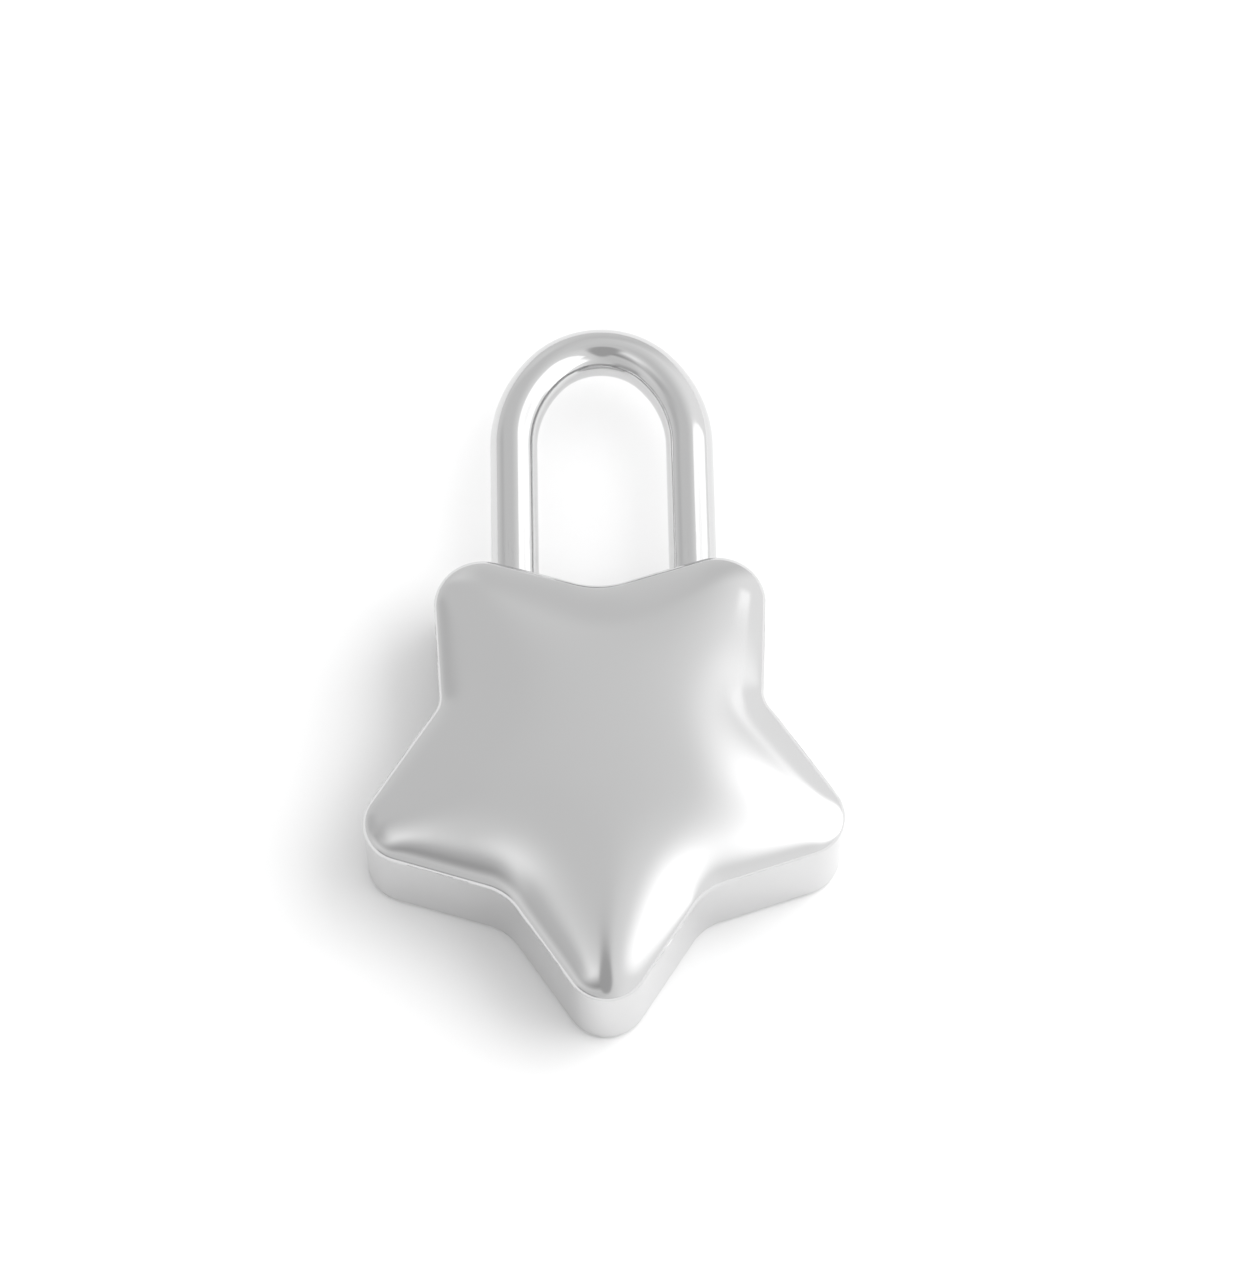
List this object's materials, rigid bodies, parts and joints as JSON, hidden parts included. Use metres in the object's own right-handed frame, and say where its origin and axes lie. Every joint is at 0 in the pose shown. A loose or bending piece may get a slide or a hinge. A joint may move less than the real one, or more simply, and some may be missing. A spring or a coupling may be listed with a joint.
{
  "type": "star padlock charm",
  "caption": "Puffed star padlock charm in polished metal, with a round-wire shackle that slides in bores in the star's top edge.",
  "frame": {"origin": "on the surface the charm lies on, under the middle of the closed charm's outline", "axes": "+X to the right seen from the face, +Y from the star's bottom point towards the shackle, +Z out of the face"},
  "size_m": [0.0176, 0.0276, 0.0056],
  "materials": {
    "star_metal": "mirror polished, with faint polishing haze",
    "shackle_metal": "mirror polished drawn wire",
    "pin_metal": "plain ground pin"
  },
  "bodies": {
    "case": {"star_body": "star_metal", "keeper_pin": "pin_metal"},
    "shackle": {"shackle": "shackle_metal"}
  },
  "joints": [
    {"name": "shackle_slide", "type": "slide", "parent": "case", "child": "shackle", "axis": [0, 1, 0], "range_m": [0, 0.0032]}
  ]
}
